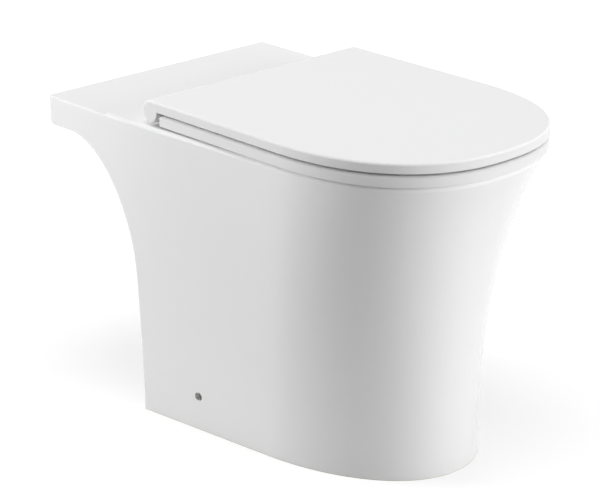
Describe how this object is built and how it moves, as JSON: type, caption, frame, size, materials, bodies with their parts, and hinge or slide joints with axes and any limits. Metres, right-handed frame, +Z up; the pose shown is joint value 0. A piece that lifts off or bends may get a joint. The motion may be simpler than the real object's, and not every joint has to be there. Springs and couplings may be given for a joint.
{
  "type": "close coupled toilet pan",
  "caption": "Floor-standing close coupled toilet pan with smooth enclosed sides, a rear cistern shelf and a D-shaped soft-close seat ring and lid on a lift-off hinge.",
  "frame": {"origin": "on the floor under the middle of the overall box", "axes": "-Y is the front, +Y the wall, +Z up, and X runs along the hinge line"},
  "size_m": [0.3718, 0.624, 0.434],
  "materials": {
    "china": "glossy white glaze",
    "seat": "satin white thermoset",
    "buffer": "soft translucent white",
    "nylon": "moulded",
    "steel": "plain stainless",
    "chrome": "plated",
    "rubber": "matte"
  },
  "bodies": {
    "pan": {"pan_body": "china", "floor_bracket_left": "nylon", "floor_bracket_right": "nylon", "fixing_sleeve_left": "nylon", "fixing_sleeve_right": "nylon", "side_screw_left": "steel", "side_screw_right": "steel", "hinge_pillar_left": "steel", "hinge_pillar_right": "steel", "stud_bush_left": "rubber", "stud_bush_right": "rubber", "stud_washer_left": "steel", "stud_washer_right": "steel", "stud_nut_left": "steel", "stud_nut_right": "steel"},
    "hinge": {"hinge_block_left": "chrome", "hinge_block_right": "chrome", "hinge_pin_left": "steel", "hinge_pin_right": "steel", "soft_close_damper_left": "nylon", "soft_close_damper_right": "nylon", "button_spring_left": "steel", "button_spring_right": "steel"},
    "button_left": {"release_button_left": "chrome"},
    "button_right": {"release_button_right": "chrome"},
    "ring": {"seat_ring": "seat", "ring_buffers": "buffer"},
    "lid": {"seat_lid": "seat", "lid_buffers": "buffer"}
  },
  "joints": [
    {"name": "seat_lift", "type": "slide", "parent": "pan", "child": "hinge", "axis": [0, 0, 1], "range_m": [0, 0.012]},
    {"name": "ring_hinge", "type": "hinge", "parent": "hinge", "child": "ring", "pos_m": [0, 0.118, 0.4195], "axis": [1, 0, 0], "range_deg": [-95, 0]},
    {"name": "lid_hinge", "type": "hinge", "parent": "ring", "child": "lid", "pos_m": [0, 0.118, 0.4195], "axis": [-1, 0, 0], "range_deg": [0, 98]},
    {"name": "button_left", "type": "slide", "parent": "hinge", "child": "button_left", "axis": [-1, 0, 0], "range_m": [0, 0.0025], "stiffness_N_per_m": 800, "deforming": ["button_spring_left"]},
    {"name": "button_right", "type": "slide", "parent": "hinge", "child": "button_right", "axis": [1, 0, 0], "range_m": [0, 0.0025], "stiffness_N_per_m": 800, "deforming": ["button_spring_right"]}
  ]
}
